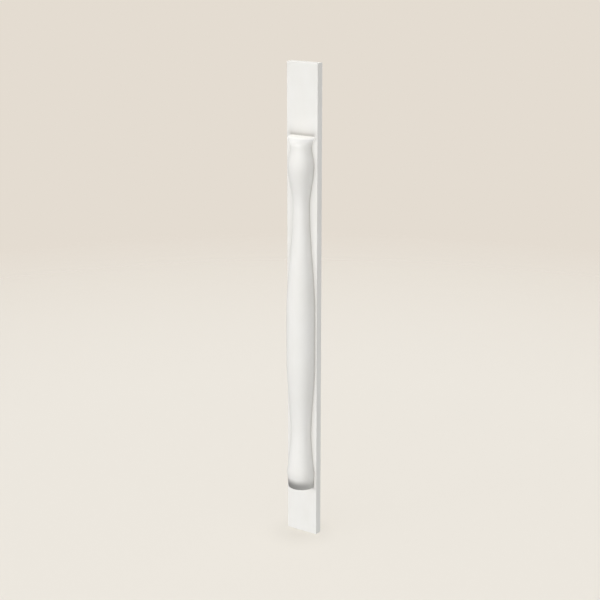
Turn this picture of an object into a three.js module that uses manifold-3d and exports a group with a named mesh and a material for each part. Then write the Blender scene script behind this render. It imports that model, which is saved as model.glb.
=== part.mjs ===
// A pilaster for a cabinet or a chimneypiece: a flat plank with a half-round turned baluster
// glued to its face. The baluster was turned whole on a lathe and then split down its axis.
//
// Millimetres, +Z up. The origin is the centre of the plank's flat back. +Y points out of the
// back, into the wall or cabinet that carries the pilaster, and the turning faces -Y.

import * as THREE from "three";
import { mergeVertices } from "three/addons/utils/BufferGeometryUtils.js";
import Module from "manifold-3d";

// The plank
const PLANK_THICKNESS = 18;
const PLANK_SIDE_MARGIN = 4.5; // plank left showing beside the turning's widest place
const BARE_BELOW = 113.5; // plank left bare below the turning
const BARE_ABOVE = 154; // plank left bare above the turning
const ARRIS_RADIUS = 1; // the eased long edges of the plank's face

// The turning's radii, from the foot up
const UNDERSIDE_RADIUS = 30.6;
const FOOT_RADIUS = 33.3;
const ANKLE_RADIUS = 24.3;
const BELLY_RADIUS = 34;
const WAIST_RADIUS = 19.4;
const BULB_RADIUS = 30.5;
const NECK_RADIUS = 24.5;
const RIM_RADIUS = 31;
const TOP_RADIUS = 27; // the flat top, inside the rounded rim

// The length of each stretch of the turning, from the foot up
const FOOT_LENGTH = 36.5; // underside to the foot's widest place
const ANKLE_LENGTH = 88; // foot to ankle
const SWELL_LENGTH = 175; // ankle to belly
const BELLY_LENGTH = 105;
const TAPER_LENGTH = 244; // belly to waist
const BULB_LENGTH = 89; // waist to bulb
const NECK_LENGTH = 38; // bulb to neck
const CAP_LENGTH = 20; // neck to the rim's widest place
const RIM_LENGTH = 4; // rim to the flat top

const DRAW_IN_POWER = 1.4; // how soon the foot draws in to the ankle
const FLARE_POWER = 1.8; // how late the neck opens out to the cap's rim

// The joint between the two pieces
const GLUE_LINE = 0.3;

// How finely round surfaces are divided
const HALF_TURN_FACETS = 28;
const ARRIS_FACETS = 3;

// The way a stretch runs from its lower end to its upper end, as s goes from 0 to 1: how far
// along the stretch it has come, and how far the radius has changed
const level = (s) => [s, s];
const ogee = (s) => [s, s * s * (3 - 2 * s)];
const drawIn = (s) => [s, 1 - (1 - s) ** DRAW_IN_POWER];
const flare = (s) => [s, s ** FLARE_POWER];
const roundedOver = (s) => [Math.sin((s * Math.PI) / 2), 1 - Math.cos((s * Math.PI) / 2)];

// Each stretch: its length, the radius that it reaches, the way it runs and its facets
const STRETCHES = [
  [FOOT_LENGTH, FOOT_RADIUS, level, 3],
  [ANKLE_LENGTH, ANKLE_RADIUS, drawIn, 8],
  [SWELL_LENGTH, BELLY_RADIUS, ogee, 10],
  [BELLY_LENGTH, BELLY_RADIUS, level, 1],
  [TAPER_LENGTH, WAIST_RADIUS, ogee, 12],
  [BULB_LENGTH, BULB_RADIUS, ogee, 9],
  [NECK_LENGTH, NECK_RADIUS, ogee, 6],
  [CAP_LENGTH, RIM_RADIUS, flare, 4],
  [RIM_LENGTH, TOP_RADIUS, roundedOver, 6],
];

const TURNING_LENGTH = STRETCHES.reduce((sum, [length]) => sum + length, 0);
const WIDEST_RADIUS = Math.max(UNDERSIDE_RADIUS, ...STRETCHES.map(([, radius]) => radius));
const PLANK_HEIGHT = BARE_BELOW + TURNING_LENGTH + BARE_ABOVE;
const PLANK_WIDTH = 2 * (WIDEST_RADIUS + PLANK_SIDE_MARGIN);

const wasm = await Module();
wasm.setup();

// The turning's outline, from its axis at the underside, up the side and back to the axis
function turnedOutline() {
  const points = [new THREE.Vector2(0, 0), new THREE.Vector2(UNDERSIDE_RADIUS, 0)];
  let height = 0;
  let radius = UNDERSIDE_RADIUS;
  for (const [length, nextRadius, way, facets] of STRETCHES) {
    for (let i = 1; i <= facets; i += 1) {
      const [along, across] = way(i / facets);
      points.push(new THREE.Vector2(radius + (nextRadius - radius) * across, height + length * along));
    }
    height += length;
    radius = nextRadius;
  }
  points.push(new THREE.Vector2(0, height));
  return points;
}

// A closed geometry as a solid. Triangles that shrink to a line on the axis are left out.
function toSolid(geometry) {
  geometry.deleteAttribute("normal");
  geometry.deleteAttribute("uv");
  const merged = mergeVertices(geometry);
  const corners = merged.index.array;
  const kept = [];
  for (let i = 0; i < corners.length; i += 3) {
    const [a, b, c] = [corners[i], corners[i + 1], corners[i + 2]];
    if (a !== b && b !== c && c !== a) {
      kept.push(a, b, c);
    }
  }
  return new wasm.Manifold(
    new wasm.Mesh({
      numProp: 3,
      vertProperties: new Float32Array(merged.attributes.position.array),
      triVerts: new Uint32Array(kept),
    }),
  );
}

function toGeometry(solid) {
  const mesh = solid.getMesh();
  const geometry = new THREE.BufferGeometry();
  geometry.setAttribute("position", new THREE.BufferAttribute(mesh.vertProperties, 3));
  geometry.setIndex(new THREE.BufferAttribute(mesh.triVerts, 1));
  geometry.computeVertexNormals();
  return geometry;
}

// The whole turning, stood upright on the origin, with only its front half kept
function halfTurning() {
  const whole = new THREE.LatheGeometry(turnedOutline(), 2 * HALF_TURN_FACETS);
  whole.rotateX(Math.PI / 2);
  const reach = 2 * WIDEST_RADIUS;
  const front = new THREE.BoxGeometry(2 * reach, reach, 2 * TURNING_LENGTH);
  front.translate(0, -reach / 2, TURNING_LENGTH / 2);
  return toGeometry(toSolid(whole).intersect(toSolid(front)));
}

// The plank's section, square at the back and eased at the two front edges, run upwards
function plank() {
  const side = PLANK_WIDTH / 2;
  const face = -PLANK_THICKNESS;
  const section = new THREE.Shape();
  section.moveTo(side, 0);
  section.lineTo(-side, 0);
  section.lineTo(-side, face + ARRIS_RADIUS);
  section.absarc(-side + ARRIS_RADIUS, face + ARRIS_RADIUS, ARRIS_RADIUS, Math.PI, 1.5 * Math.PI);
  section.lineTo(side - ARRIS_RADIUS, face);
  section.absarc(side - ARRIS_RADIUS, face + ARRIS_RADIUS, ARRIS_RADIUS, 1.5 * Math.PI, 2 * Math.PI);
  section.closePath();
  return new THREE.ExtrudeGeometry(section, {
    depth: PLANK_HEIGHT,
    bevelEnabled: false,
    curveSegments: ARRIS_FACETS,
  });
}

// Satin white paint, a coat of its own for each piece
function whitePaint() {
  return new THREE.MeshStandardMaterial({ color: 0xf1f0ec, roughness: 0.5, metalness: 0 });
}

function backboard() {
  const mesh = new THREE.Mesh(plank(), whitePaint());
  mesh.name = "backboard";
  mesh.position.z = -PLANK_HEIGHT / 2;
  return mesh;
}

function splitBaluster() {
  const mesh = new THREE.Mesh(halfTurning(), whitePaint());
  mesh.name = "split_baluster";
  mesh.position.y = -PLANK_THICKNESS - GLUE_LINE;
  mesh.position.z = -PLANK_HEIGHT / 2 + BARE_BELOW;
  return mesh;
}

const pilaster = new THREE.Group();
pilaster.add(backboard(), splitBaluster());

export default pilaster;
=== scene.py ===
"""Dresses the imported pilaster: a painted plank with a half-round turning fixed to its face.

Everything is in metres in the model's own frame: +Z up, the plank's flat back on y = 0, and the
turning facing -Y. The plank's and the turning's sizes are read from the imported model.
"""

import math

import bmesh
import bpy
import numpy as np
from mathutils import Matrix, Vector


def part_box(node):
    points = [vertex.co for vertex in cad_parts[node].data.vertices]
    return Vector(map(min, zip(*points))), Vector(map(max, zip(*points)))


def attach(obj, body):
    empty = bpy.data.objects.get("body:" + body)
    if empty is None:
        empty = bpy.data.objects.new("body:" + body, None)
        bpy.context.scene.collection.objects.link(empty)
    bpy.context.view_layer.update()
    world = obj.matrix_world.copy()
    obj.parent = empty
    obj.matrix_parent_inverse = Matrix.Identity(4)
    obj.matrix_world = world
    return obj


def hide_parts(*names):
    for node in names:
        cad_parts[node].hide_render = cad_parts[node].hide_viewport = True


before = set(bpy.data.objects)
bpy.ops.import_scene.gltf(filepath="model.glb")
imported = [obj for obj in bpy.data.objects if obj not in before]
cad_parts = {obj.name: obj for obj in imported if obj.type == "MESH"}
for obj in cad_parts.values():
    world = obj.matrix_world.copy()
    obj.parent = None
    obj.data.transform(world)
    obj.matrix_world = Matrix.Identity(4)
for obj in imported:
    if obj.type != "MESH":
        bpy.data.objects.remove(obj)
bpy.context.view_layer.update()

MM = 0.001

# The photograph's viewpoint: where the camera stands round the object and what it looks at
CAMERA_AZIMUTH = math.radians(33.147)
CAMERA_ELEVATION = math.radians(16.448)
CAMERA_DISTANCE = 3.0632
CAMERA_TARGET = Vector((-0.0171, 0.0, 0.01053))
CAMERA_LENS = 83.43  # in millimetres, like the sensor
CAMERA_SENSOR = 36.0
CAMERA_SIGHT = 100.0  # nothing further off is drawn

# Edges that the paint rounds over
PLANK_ARRIS = 1.0 * MM  # the plank's eased long edges at the front
PLANK_BACK_ARRIS = 0.5 * MM
PLANK_END_ARRIS = 0.6 * MM
TURNING_ARRIS = 0.5 * MM  # the edge of the turning's underside
PAINT_FILLET = 0.6 * MM  # paint gathered in the corner between the turning and the plank
GLUE_DEPTH = 0.1 * MM  # how far the turning's back is bedded into the plank's face
NEARLY_FLAT = 0.1  # this share of an arris counts as part of the flat beside it
TOUCHING = 0.01 * MM  # places closer than this lie on one level

# The ways that the flats of a section face, in plan
FORWARD = (0, -1)
RIGHTWARD = (1, 0)
BACKWARD = (0, 1)
LEFTWARD = (-1, 0)

# How finely the skins are divided
FACE_STEPS = 44
SIDE_STEPS = 6
BACK_STEPS = 16
FRONT_ARRIS_STEPS = 4
BACK_ARRIS_STEPS = 3
END_ARRIS_STEPS = 4
END_RING_INSET = 1.5  # the ring on an end's flat lies this many arrises in
ROUND_STEPS = 96  # round the turning
FILLET_STEPS = 5
GLUED_STEPS = 8  # across the turning's back
ROW_STEP = 2.0 * MM  # height of one row of faces
RIM_REACH = 8.0 * MM  # rows draw closer together this far below the turning's flat top
RIM_ROWS = 20

# Shading: the turning's two ends look rounder than their outline, and its upward slopes gentler
FOOT_ROUND = 29 * MM  # the foot starts to turn under this far up
FOOT_ROUNDED = 4.5 * MM  # and has turned under this far up
FOOT_TURN_UNDER = math.radians(75)
CAP_ROUND = 24 * MM  # the cap starts to turn up this far below the flat top
CAP_TURN_UP = math.radians(85)
UPWARD_SHARE = 0.45  # how much of their tilt the slopes that face up show

# Colours, as linear light
PAINT_WHITE = (0.815, 0.805, 0.775)
PAINT_THIN = (0.785, 0.772, 0.735)
PAINTED_RIM_LIGHT = (0.885, 0.875, 0.848)  # painted light in a band round the turning's rim
# painted shade, for the corner round the turning and the foot's lower edge
PAINTED_SHADE_GREY = (0.32, 0.305, 0.28)
END_GRAIN = (0.74, 0.725, 0.685)
PRIMER = (0.62, 0.60, 0.55)
PRIMER_GRAIN = (0.53, 0.505, 0.45)
BACKDROP_CREAM = (0.776, 0.716, 0.638)
FLOOR_CREAM = (0.686, 0.653, 0.598)
FLOOR_PAINTED_SHADOW = (0.605, 0.576, 0.527)  # painted shadow close round the plank's foot

# Patterns: a patch's size across the piece and along it, and how much finer detail it holds
CLOUDS = (45 * MM, 90 * MM, 3.0)
SAGS = (14 * MM, 40 * MM, 2.0)
BRISTLES = (0.7 * MM, 70 * MM, 3.0)
PORES = (0.6 * MM, 0.6 * MM, 4.0)
GRAIN = (3.5 * MM, 260 * MM, 4.0)
GRAIN_TWIST = 0.6  # how much the grain wavers
LATHE_RINGS = (400 * MM, 1.8 * MM, 3.0)

# How deep each pattern lies
SAG_DEPTH = 0.12 * MM
BRISTLE_DEPTH = 0.02 * MM
PORE_DEPTH = 0.06 * MM
GRAIN_DEPTH = 0.05 * MM
BACK_GRAIN_DEPTH = 0.25 * MM  # under the thin primer
LATHE_RING_DEPTH = 0.04 * MM

# Which of a pattern's values, all between 0 and 1, a blend or a roughness runs over
PATTERN_SPAN = (0.3, 0.7)
THIN_SPAN = (0.35, 0.7)
PRIMER_SPAN = (0.35, 0.65)

# Roughness, from 0 for a mirror to 1 for chalk: the satin's range, and what is added to it
SATIN_ROUGHNESS = (0.38, 0.46)
BRISTLE_ROUGHNESS = 0.14
END_ROUGHNESS = 0.15
BACK_ROUGHNESS = 0.3

END_GRAIN_SHARE = (0.2, 0.9)  # how much of its own colour an end shows, over its pores

# How far the painted shade in the corner reaches over the plank: beside, above and below the turning
CREASE_BESIDE = 6 * MM
CREASE_ABOVE = 8 * MM
CREASE_BELOW = 2.5 * MM
CREASE_OUT = 4 * MM  # and out from the plank, up the turning's side
CREASE_AT_SIDE = 0.48  # how strong it is on the plank beside the turning; 1 is full strength
CREASE_PAST_ENDS = 1.2  # and on the plank above and below the turning
CREASE_ON_TURNING = 0.66

# Painted shade along the edge of the turning's underside, darker to the left
EDGE_REACH = 8 * MM
EDGE_STRENGTH = 0.3
EDGE_LEFTWARD = 1.5  # a power; the higher, the darker the painted shade on the left and the lighter on the right

# Painted light: in a band under the turning's rim, and weaker on the flat top
RIM_LIGHT_DROP = 5.5 * MM  # the middle of the band, below the flat top
RIM_LIGHT_REACH = 4 * MM
RIM_LIGHT_ON_TOP = 0.1

# The stage
BACKDROP_RADIUS = 14.0
BACKDROP_SUBDIVISIONS = 4
FLOOR_SIDES = 128
FLOOR_INNER = 1.0  # the floor starts to fade into the backdrop here
FLOOR_OUTER = 2.85
FLOOR_FADE_POWER = 1.6
SHADE_CENTRE = (0, -30 * MM, 0)  # the painted shadow on the floor, from below the origin
SHADE_INNER = 15 * MM  # it starts to fade this far out
SHADE_OUTER = 105 * MM
SKY_ZENITH = 0.62
SKY_NADIR = 0.20

# Lamps: bearing and height in degrees as seen from the object, and strength
LAMPS = {
    "key": (0, 15, 1.48),
    "left_front": (-30, 30, 0.86),
    "right_low": (85, -28, 0.55),
    "right_back": (150, -30, 0.96),
    "top_back": (-165, 60, 0.75),
    "overhead": (0, 90, 0.66),
}
LAMP_WIDTH = math.radians(20)  # how wide each looks, seen from the object


def placed(name, data):
    """A new object in the scene."""
    obj = bpy.data.objects.new(name, data)
    bpy.context.scene.collection.objects.link(obj)
    return obj


def direction_to(azimuth, elevation):
    """The way from the object to a place so far round to the right of its front, and so far up."""
    return Vector((
        math.sin(azimuth) * math.cos(elevation),
        -math.cos(azimuth) * math.cos(elevation),
        math.sin(elevation),
    ))


def camera():
    data = bpy.data.cameras.new("camera")
    data.lens = CAMERA_LENS
    data.sensor_width = CAMERA_SENSOR
    data.clip_end = CAMERA_SIGHT
    obj = placed("camera", data)
    back = direction_to(CAMERA_AZIMUTH, CAMERA_ELEVATION)
    obj.location = CAMERA_TARGET + back * CAMERA_DISTANCE
    obj.rotation_mode = "QUATERNION"
    obj.rotation_quaternion = (-back).to_track_quat("-Z", "Y")
    bpy.context.scene.camera = obj


def turned_profile():
    """The turning's radius against height, read off the edges of the solid's flat back."""
    vertices = np.array([v.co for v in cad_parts["split_baluster"].data.vertices])
    back = vertices[:, 1].max()
    edge = vertices[np.abs(vertices[:, 1] - back) < TOUCHING]
    heights = {}
    for x, _, z in edge:
        key = round(z / MM, 3)
        heights[key] = max(heights.get(key, 0.0), abs(x))
    levels = np.array(sorted(heights)) * MM
    radii = np.array([heights[key] for key in sorted(heights)])
    return levels, radii


def smooth_slopes(levels, radii):
    """A slope at each ring that keeps the curve between two rings from swinging past either."""
    steps = np.diff(levels)
    rises = np.diff(radii) / steps
    slopes = np.concatenate(([rises[0]], np.zeros(len(rises) - 1), [rises[-1]]))
    for i in range(1, len(rises)):
        below, above = rises[i - 1], rises[i]
        if below * above > 0:
            w0, w1 = 2 * steps[i] + steps[i - 1], steps[i] + 2 * steps[i - 1]
            slopes[i] = (w0 + w1) / (w0 / below + w1 / above)
    return slopes


PROFILE_LEVELS, PROFILE_RADII = turned_profile()
PROFILE_SLOPES = smooth_slopes(PROFILE_LEVELS, PROFILE_RADII)
TURNING_BOTTOM = PROFILE_LEVELS[0]
TURNING_TOP = PROFILE_LEVELS[-1]


def turned_radius(height):
    """Radius and slope at a height, on a smooth curve through the solid's rings."""
    z = min(max(height, TURNING_BOTTOM), TURNING_TOP)
    i = min(int(np.searchsorted(PROFILE_LEVELS, z, "right")) - 1, len(PROFILE_LEVELS) - 2)
    span = PROFILE_LEVELS[i + 1] - PROFILE_LEVELS[i]
    t = (z - PROFILE_LEVELS[i]) / span
    r0, r1 = PROFILE_RADII[i], PROFILE_RADII[i + 1]
    m0, m1 = PROFILE_SLOPES[i] * span, PROFILE_SLOPES[i + 1] * span
    radius = (
        r0 * (2 * t**3 - 3 * t**2 + 1) + m0 * (t**3 - 2 * t**2 + t)
        + r1 * (3 * t**2 - 2 * t**3) + m1 * (t**3 - t**2)
    )
    slope = (
        (r0 - r1) * (6 * t**2 - 6 * t) + m0 * (3 * t**2 - 4 * t + 1) + m1 * (3 * t**2 - 2 * t)
    ) / span
    return radius, slope


def arc(cx, cy, radius, start, end, steps, facing=1):
    """Points round a corner with the way each faces: out from the centre, or in for a hollow."""
    points = []
    for i in range(steps + 1):
        a = start + (end - start) * i / steps
        c, s = math.cos(a), math.sin(a)
        points.append(((cx + radius * c, cy + radius * s), (facing * c, facing * s)))
    return points


def line(p, q, steps, outward):
    """Points strictly between two corners, all facing one way."""
    points = []
    for i in range(1, steps):
        t = i / steps
        points.append(((p[0] + (q[0] - p[0]) * t, p[1] + (q[1] - p[1]) * t), outward))
    return points


def plank_section(low, high, inset):
    """The plank's outline in plan, drawn in by an inset all round."""
    left, right = low.x + inset, high.x - inset
    face, back = low.y + inset, high.y - inset
    f, b = PLANK_ARRIS, PLANK_BACK_ARRIS
    quarter = math.pi / 2
    loop = arc(left + f, face + f, f, 2 * quarter, 3 * quarter, FRONT_ARRIS_STEPS)
    loop += line((left + f, face), (right - f, face), FACE_STEPS, FORWARD)
    loop += arc(right - f, face + f, f, 3 * quarter, 4 * quarter, FRONT_ARRIS_STEPS)
    loop += line((right, face + f), (right, back - b), SIDE_STEPS, RIGHTWARD)
    loop += arc(right - b, back - b, b, 0, quarter, BACK_ARRIS_STEPS)
    loop += line((right - b, back), (left + b, back), BACK_STEPS, BACKWARD)
    loop += arc(left + b, back - b, b, quarter, 2 * quarter, BACK_ARRIS_STEPS)
    loop += line((left, back - b), (left, face + f), SIDE_STEPS, LEFTWARD)
    return loop


def turning_section(axis, face, radius, inset):
    """Half a circle that meets the plank's face in a small hollow fillet on either side."""
    f = PAINT_FILLET
    r = radius - inset
    hollow = face - f
    reach = math.sqrt((r + f) ** 2 - (hollow - axis) ** 2)
    lean = math.atan2(axis - hollow, reach)
    back = face + GLUE_DEPTH
    loop = arc(-reach, hollow, f, math.pi / 2, -lean, FILLET_STEPS, facing=-1)
    loop += arc(0, axis, r, math.pi + lean, 2 * math.pi - lean, ROUND_STEPS)[1:-1]
    loop += arc(reach, hollow, f, math.pi + lean, math.pi / 2, FILLET_STEPS, facing=-1)
    loop += [((reach, back), BACKWARD)]
    loop += line((reach, back), (-reach, back), GLUED_STEPS, BACKWARD)
    loop += [((-reach, back), BACKWARD)]
    return loop


def skin(name, rings):
    """A closed mesh through level rings. Each ring is a height, a section and each point's tilt."""
    count = len(rings[0][1])
    places, directions = [], []
    for height, section, tilts in rings:
        for ((x, y), (nx, ny)), tilt in zip(section, tilts):
            places.append((x, y, height))
            directions.append((nx * math.cos(tilt), ny * math.cos(tilt), math.sin(tilt)))
    faces = [tuple(reversed(range(count)))]
    for k in range(len(rings) - 1):
        below, above = k * count, (k + 1) * count
        for i in range(count):
            j = (i + 1) % count
            faces.append((below + i, below + j, above + j, above + i))
    last = (len(rings) - 1) * count
    faces.append(tuple(range(last, last + count)))
    mesh = bpy.data.meshes.new(name)
    mesh.from_pydata(places, [], faces)
    mesh.shade_smooth()
    mesh.normals_split_custom_set_from_vertices(directions)
    return placed(name, mesh)


def end_rings(section_at, z_end, way, arris, side_tilt=0.0):
    """The eased edge and the flat of one end: way is 1 for a top end and -1 for a bottom end."""
    rings = []
    for i in range(1, END_ARRIS_STEPS + 1):
        a = math.pi / 2 * i / END_ARRIS_STEPS
        section = section_at(arris * (1 - math.cos(a)))
        tilt = side_tilt + (way * math.pi / 2 - side_tilt) * i / END_ARRIS_STEPS
        rings.append((z_end - way * arris * (1 - math.sin(a)), section, [tilt] * len(section)))
    section = section_at(arris * END_RING_INSET)
    rings.append((z_end, section, [way * math.pi / 2] * len(section)))
    return rings if way > 0 else rings[::-1]


def mark(obj, name, weight):
    """Stores a weight from 0 to 1 at each vertex, worked out from its place."""
    values = [weight(*vertex.co) for vertex in obj.data.vertices]
    obj.data.attributes.new(name, "FLOAT", "POINT").data.foreach_set("value", values)


def painted_board():
    low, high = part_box("backboard")

    def section_at(inset):
        return plank_section(low, high, inset)

    def painted_shade(x, y, z):
        """Painted shade on the front face, by how close a place lies to the turning."""
        if y > low.y + NEARLY_FLAT * PLANK_ARRIS:
            return 0.0
        beside = max(abs(x) - turned_radius(z)[0], 0.0) / CREASE_BESIDE
        beyond = max((z - TURNING_TOP) / CREASE_ABOVE, (TURNING_BOTTOM - z) / CREASE_BELOW, 0.0)
        past_the_end = min(max(z - TURNING_TOP, TURNING_BOTTOM - z, 0.0) / ROW_STEP, 1.0)
        strength = CREASE_AT_SIDE + (CREASE_PAST_ENDS - CREASE_AT_SIDE) * past_the_end
        return min(strength * math.exp(-math.hypot(beside, beyond)), 1.0)

    def end(x, y, z):
        return float(min(z - low.z, high.z - z) < NEARLY_FLAT * PLANK_END_ARRIS)

    def back(x, y, z):
        return float(high.y - y < NEARLY_FLAT * PLANK_BACK_ARRIS)

    body = section_at(0)
    length = high.z - low.z - 2 * PLANK_END_ARRIS
    rows = round(length / ROW_STEP)
    rings = end_rings(section_at, low.z, -1, PLANK_END_ARRIS)
    for k in range(rows + 1):
        rings.append((low.z + PLANK_END_ARRIS + length * k / rows, body, [0.0] * len(body)))
    rings += end_rings(section_at, high.z, 1, PLANK_END_ARRIS)
    obj = skin("painted_board", rings)
    mark(obj, "painted_shade", painted_shade)
    mark(obj, "end", end)
    mark(obj, "back", back)
    return obj


def eased(share):
    """A share from 0 to 1 that leaves and arrives gently."""
    return share * share * (3 - 2 * share)


def shaded_tilt(z, slope):
    """How far up the turning is shaded as facing, which near its two ends isn't how it is shaped."""
    tilt = -math.atan(slope)
    above = (z - (TURNING_TOP - CAP_ROUND)) / CAP_ROUND
    below = min((TURNING_BOTTOM + FOOT_ROUND - z) / (FOOT_ROUND - FOOT_ROUNDED), 1.0)
    if above > 0:
        tilt += (CAP_TURN_UP - tilt) * above
    elif tilt > 0:
        tilt *= UPWARD_SHARE
    if below > 0:
        tilt += (-FOOT_TURN_UNDER - tilt) * eased(below)
    return tilt


def painted_turning():
    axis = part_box("split_baluster")[1].y
    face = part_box("backboard")[0].y
    low_end, rim_end = TURNING_BOTTOM + TURNING_ARRIS, TURNING_TOP - RIM_REACH

    def bottom_section(inset):
        return turning_section(axis, face, PROFILE_RADII[0], inset)

    rings = end_rings(bottom_section, TURNING_BOTTOM, -1, TURNING_ARRIS, -FOOT_TURN_UNDER)
    rows = round((rim_end - low_end) / ROW_STEP)
    levels = [low_end + (rim_end - low_end) * k / rows for k in range(rows)]
    levels += [rim_end + RIM_REACH * math.sin(math.pi / 2 * k / RIM_ROWS) for k in range(RIM_ROWS)]
    for z in levels:
        radius, slope = turned_radius(z)
        section = turning_section(axis, face, radius, 0)
        tilt = shaded_tilt(z, slope)
        rings.append((z, section, [0.0 if facing == BACKWARD else tilt for _, facing in section]))
    top_section = turning_section(axis, face, PROFILE_RADII[-1], 0)
    rings.append((TURNING_TOP, top_section, [math.pi / 2] * len(top_section)))
    obj = skin("painted_turning", rings)

    def flat_end(x, y, z):
        return float(min(z - TURNING_BOTTOM, TURNING_TOP - z) < TOUCHING)

    def painted_shade(x, y, z):
        """Painted shade near the plank, fading out up the cap, and near the lower edge."""
        if flat_end(x, y, z):
            return 0.0
        fade = min((TURNING_TOP - z) / CAP_ROUND, 1.0)
        corner = fade * CREASE_ON_TURNING * math.exp(-max(face - y, 0) / CREASE_OUT)
        # painted shade along the foot's lower edge, darker to the left
        to_the_left = max(1 - x / PROFILE_RADII[0], 0.0) ** EDGE_LEFTWARD
        edge = EDGE_STRENGTH * to_the_left * math.exp(-(z - TURNING_BOTTOM) / EDGE_REACH)
        return max(corner, edge)

    def painted_rim_light(x, y, z):
        """How much painted light a place gets."""
        band = math.exp(-(((z - TURNING_TOP + RIM_LIGHT_DROP) / RIM_LIGHT_REACH) ** 2))
        return RIM_LIGHT_ON_TOP if z > TURNING_TOP - TOUCHING else band

    mark(obj, "painted_shade", painted_shade)
    mark(obj, "end", flat_end)
    mark(obj, "painted_rim_light", painted_rim_light)
    return obj


def node(tree, kind, **settings):
    made = tree.nodes.new(kind)
    for key, value in settings.items():
        setattr(made, key, value)
    return made


def attribute(tree, name):
    """The weight that a mark stored, or 0 on a piece without that mark."""
    return node(tree, "ShaderNodeAttribute", attribute_name=name).outputs["Fac"]


def remap(tree, value, from_range, to_range=(0.0, 1.0)):
    """A value carried from one range to another, and held at its ends."""
    made = node(tree, "ShaderNodeMapRange")
    for socket, number in zip(("From Min", "From Max", "To Min", "To Max"), (*from_range, *to_range)):
        made.inputs[socket].default_value = number
    tree.links.new(value, made.inputs["Value"])
    return made.outputs["Result"]


def noise(tree, across, along, detail, twist=0.0):
    """Cloudy noise in patches of one size across the piece and another along it."""
    place = node(tree, "ShaderNodeTexCoord")
    stretch = node(tree, "ShaderNodeMapping")
    stretch.inputs["Scale"].default_value = (1 / across, 1 / across, 1 / along)
    cloud = node(tree, "ShaderNodeTexNoise")
    cloud.inputs["Scale"].default_value = 1
    cloud.inputs["Detail"].default_value = detail
    cloud.inputs["Distortion"].default_value = twist
    tree.links.new(place.outputs["Object"], stretch.inputs["Vector"])
    tree.links.new(stretch.outputs["Vector"], cloud.inputs["Vector"])
    return cloud.outputs["Fac"]


def blend(tree, factor, first, second):
    """From the first colour to the second, each a fixed colour or another node's output."""
    mix = node(tree, "ShaderNodeMix", data_type="RGBA")
    tree.links.new(factor, mix.inputs["Factor"])
    for socket, colour in (("A", first), ("B", second)):
        if isinstance(colour, tuple):
            mix.inputs[socket].default_value = (*colour, 1)
        else:
            tree.links.new(colour, mix.inputs[socket])
    return mix.outputs["Result"]


def scaled(tree, value, factor):
    """A value times another node's output or a fixed number."""
    made = node(tree, "ShaderNodeMath", operation="MULTIPLY")
    tree.links.new(value, made.inputs[0])
    if isinstance(factor, float):
        made.inputs[1].default_value = factor
    else:
        tree.links.new(factor, made.inputs[1])
    return made.outputs["Value"]


def added(tree, first, second):
    made = node(tree, "ShaderNodeMath", operation="ADD")
    tree.links.new(first, made.inputs[0])
    tree.links.new(second, made.inputs[1])
    return made.outputs["Value"]


def relief(tree, height, depth, under=None):
    """A shading normal from a height between 0 and 1, laid over another relief."""
    bump = node(tree, "ShaderNodeBump")
    bump.inputs["Distance"].default_value = depth
    tree.links.new(height, bump.inputs["Height"])
    if under is not None:
        tree.links.new(under, bump.inputs["Normal"])
    return bump.outputs["Normal"]


def new_material(name):
    """A material with its node tree, which holds only a shader and the output."""
    material = bpy.data.materials.new(name)
    material.use_nodes = True
    return material, material.node_tree


def coat(tree, colour, roughness, normal):
    """Gives the shader its colour, roughness and relief."""
    shader = tree.nodes["Principled BSDF"]
    tree.links.new(colour, shader.inputs["Base Color"])
    tree.links.new(roughness, shader.inputs["Roughness"])
    tree.links.new(normal, shader.inputs["Normal"])


def surface(tree, output):
    """Shows another shader's output in place of the usual shader's."""
    tree.nodes.remove(tree.nodes["Principled BSDF"])
    tree.links.new(output, tree.nodes["Material Output"].inputs["Surface"])


def paint_coat(tree):
    """What both pieces share: colour, roughness and relief of brushed satin paint, with painted shade
    and light.
    """
    cloud = noise(tree, *CLOUDS)
    colour = blend(tree, remap(tree, cloud, THIN_SPAN), PAINT_WHITE, PAINT_THIN)
    # painted light in a band round the turning's rim
    colour = blend(tree, attribute(tree, "painted_rim_light"), colour, PAINTED_RIM_LIGHT)
    # painted shade in the corner round the turning and along the foot's lower edge
    colour = blend(tree, attribute(tree, "painted_shade"), colour, PAINTED_SHADE_GREY)
    bristles = noise(tree, *BRISTLES)
    sags = noise(tree, *SAGS)
    satin = remap(tree, cloud, PATTERN_SPAN, SATIN_ROUGHNESS)
    roughness = added(tree, scaled(tree, bristles, BRISTLE_ROUGHNESS), satin)
    normal = relief(tree, sags, SAG_DEPTH)
    normal = relief(tree, bristles, BRISTLE_DEPTH, normal)
    return colour, roughness, normal


def end_grain(tree, colour, roughness, normal):
    """Paint that has soaked into an end: duller, greyer and finely pitted."""
    end = attribute(tree, "end")
    pores = noise(tree, *PORES)
    share = scaled(tree, end, remap(tree, pores, PATTERN_SPAN, END_GRAIN_SHARE))
    colour = blend(tree, share, colour, END_GRAIN)
    roughness = added(tree, roughness, scaled(tree, end, END_ROUGHNESS))
    normal = relief(tree, scaled(tree, pores, end), PORE_DEPTH, normal)
    return colour, roughness, normal


def board_paint():
    """Brushed white on a planed plank, with the grain just telling through and a primed back."""
    material, tree = new_material("board_paint")
    colour, roughness, normal = paint_coat(tree)
    grain = noise(tree, *GRAIN, twist=GRAIN_TWIST)
    normal = relief(tree, grain, GRAIN_DEPTH, normal)
    colour, roughness, normal = end_grain(tree, colour, roughness, normal)
    back = attribute(tree, "back")
    primed = blend(tree, remap(tree, grain, PRIMER_SPAN), PRIMER, PRIMER_GRAIN)
    colour = blend(tree, back, colour, primed)
    roughness = added(tree, roughness, scaled(tree, back, BACK_ROUGHNESS))
    normal = relief(tree, scaled(tree, grain, back), BACK_GRAIN_DEPTH, normal)
    coat(tree, colour, roughness, normal)
    return material


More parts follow.
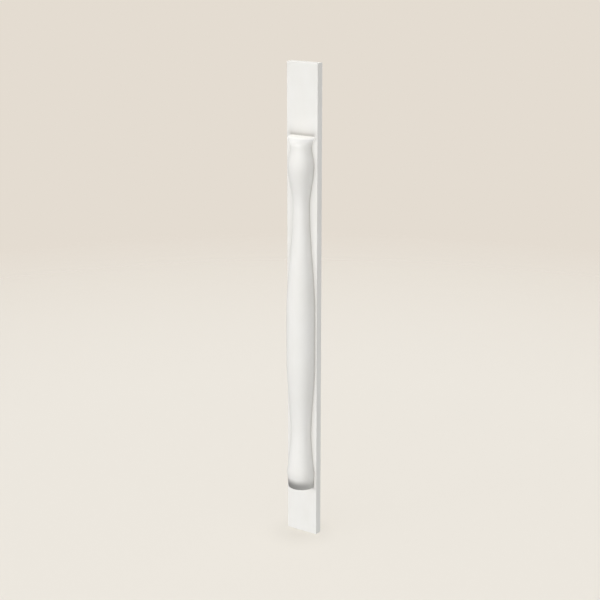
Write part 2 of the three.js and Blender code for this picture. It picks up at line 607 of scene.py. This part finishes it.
def turning_paint():
    """Brushed white on a sanded turning, with faint rings left by the lathe."""
    material, tree = new_material("turning_paint")
    colour, roughness, normal = paint_coat(tree)
    normal = relief(tree, noise(tree, *LATHE_RINGS), LATHE_RING_DEPTH, normal)
    colour, roughness, normal = end_grain(tree, colour, roughness, normal)
    coat(tree, colour, roughness, normal)
    return material


def lamp(name, azimuth, elevation, strength, glossy):
    """A soft lamp shining from a bearing round the object, measured like the camera's."""
    data = bpy.data.lights.new(name, "SUN")
    data.energy = strength
    data.angle = LAMP_WIDTH
    data.use_shadow = False
    obj = placed(name, data)
    towards = direction_to(math.radians(azimuth), math.radians(elevation))
    obj.rotation_mode = "QUATERNION"
    obj.rotation_quaternion = towards.to_track_quat("Z", "Y")
    obj.visible_glossy = glossy


def sky():
    """Soft light from all round, brightest from straight above."""
    made = bpy.data.worlds.new("sky")
    bpy.context.scene.world = made
    made.use_nodes = True
    tree = made.node_tree
    place = node(tree, "ShaderNodeTexCoord")
    split = node(tree, "ShaderNodeSeparateXYZ")
    tree.links.new(place.outputs["Generated"], split.inputs["Vector"])
    strength = remap(tree, split.outputs["Z"], (-1, 1), (SKY_NADIR, SKY_ZENITH))
    tree.links.new(strength, tree.nodes["Background"].inputs["Strength"])
    tree.nodes["Background"].inputs["Color"].default_value = (1, 1, 1, 1)


def backdrop_material():
    """A plain glow that no lamp brightens or shades."""
    material, tree = new_material("backdrop")
    glow = node(tree, "ShaderNodeEmission")
    glow.inputs["Color"].default_value = (*BACKDROP_CREAM, 1)
    surface(tree, glow.outputs["Emission"])
    return material


def backdrop():
    """A ball round everything, which only the camera sees."""
    mesh = bpy.data.meshes.new("backdrop")
    shape = bmesh.new()
    bmesh.ops.create_icosphere(shape, subdivisions=BACKDROP_SUBDIVISIONS, radius=BACKDROP_RADIUS)
    shape.to_mesh(mesh)
    shape.free()
    mesh.materials.append(backdrop_material())
    obj = placed("backdrop", mesh)
    obj.visible_diffuse = False
    obj.visible_glossy = False
    obj.visible_transmission = False
    obj.visible_shadow = False


def floor_material():
    """Matt cream with a painted shadow round the plank's foot, that turns clear towards the floor's
    edge.
    """
    material, tree = new_material("floor")
    place = node(tree, "ShaderNodeTexCoord")
    distance = node(tree, "ShaderNodeVectorMath", operation="LENGTH")
    tree.links.new(place.outputs["Object"], distance.inputs[0])
    fade = remap(tree, distance.outputs["Value"], (FLOOR_INNER, FLOOR_OUTER))
    curve = node(tree, "ShaderNodeMath", operation="POWER")
    curve.inputs[1].default_value = FLOOR_FADE_POWER
    tree.links.new(fade, curve.inputs[0])
    # painted shadow round the plank's foot
    apart = node(tree, "ShaderNodeVectorMath", operation="DISTANCE")
    apart.inputs[1].default_value = SHADE_CENTRE
    tree.links.new(place.outputs["Object"], apart.inputs[0])
    shade = remap(tree, apart.outputs["Value"], (SHADE_INNER, SHADE_OUTER), (1, 0))
    colour = blend(tree, scaled(tree, shade, shade), FLOOR_CREAM, FLOOR_PAINTED_SHADOW)
    matt = node(tree, "ShaderNodeBsdfDiffuse")
    tree.links.new(colour, matt.inputs["Color"])
    clear = node(tree, "ShaderNodeBsdfTransparent")
    mix = node(tree, "ShaderNodeMixShader")
    tree.links.new(curve.outputs["Value"], mix.inputs["Fac"])
    tree.links.new(matt.outputs["BSDF"], mix.inputs[1])
    tree.links.new(clear.outputs["BSDF"], mix.inputs[2])
    surface(tree, mix.outputs["Shader"])
    return material


def floor():
    """A round floor under the plank's foot, from which no light bounces onto the piece."""
    corners = []
    for i in range(FLOOR_SIDES):
        a = 2 * math.pi * i / FLOOR_SIDES
        corners.append((FLOOR_OUTER * math.cos(a), FLOOR_OUTER * math.sin(a), 0))
    mesh = bpy.data.meshes.new("floor")
    mesh.from_pydata(corners, [], [tuple(range(FLOOR_SIDES))])
    mesh.materials.append(floor_material())
    obj = placed("floor", mesh)
    obj.location.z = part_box("backboard")[0].z
    obj.visible_diffuse = False
    obj.visible_glossy = False


bpy.context.scene.view_settings.view_transform = "Standard"
camera()
sky()
for lamp_name, (bearing, height, strength) in LAMPS.items():
    lamp(lamp_name, bearing, height, strength, lamp_name == "key")
backdrop()
floor()

board = painted_board()
board.data.materials.append(board_paint())
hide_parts("backboard")
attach(board, "root")

turning = painted_turning()
turning.data.materials.append(turning_paint())
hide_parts("split_baluster")
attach(turning, "root")
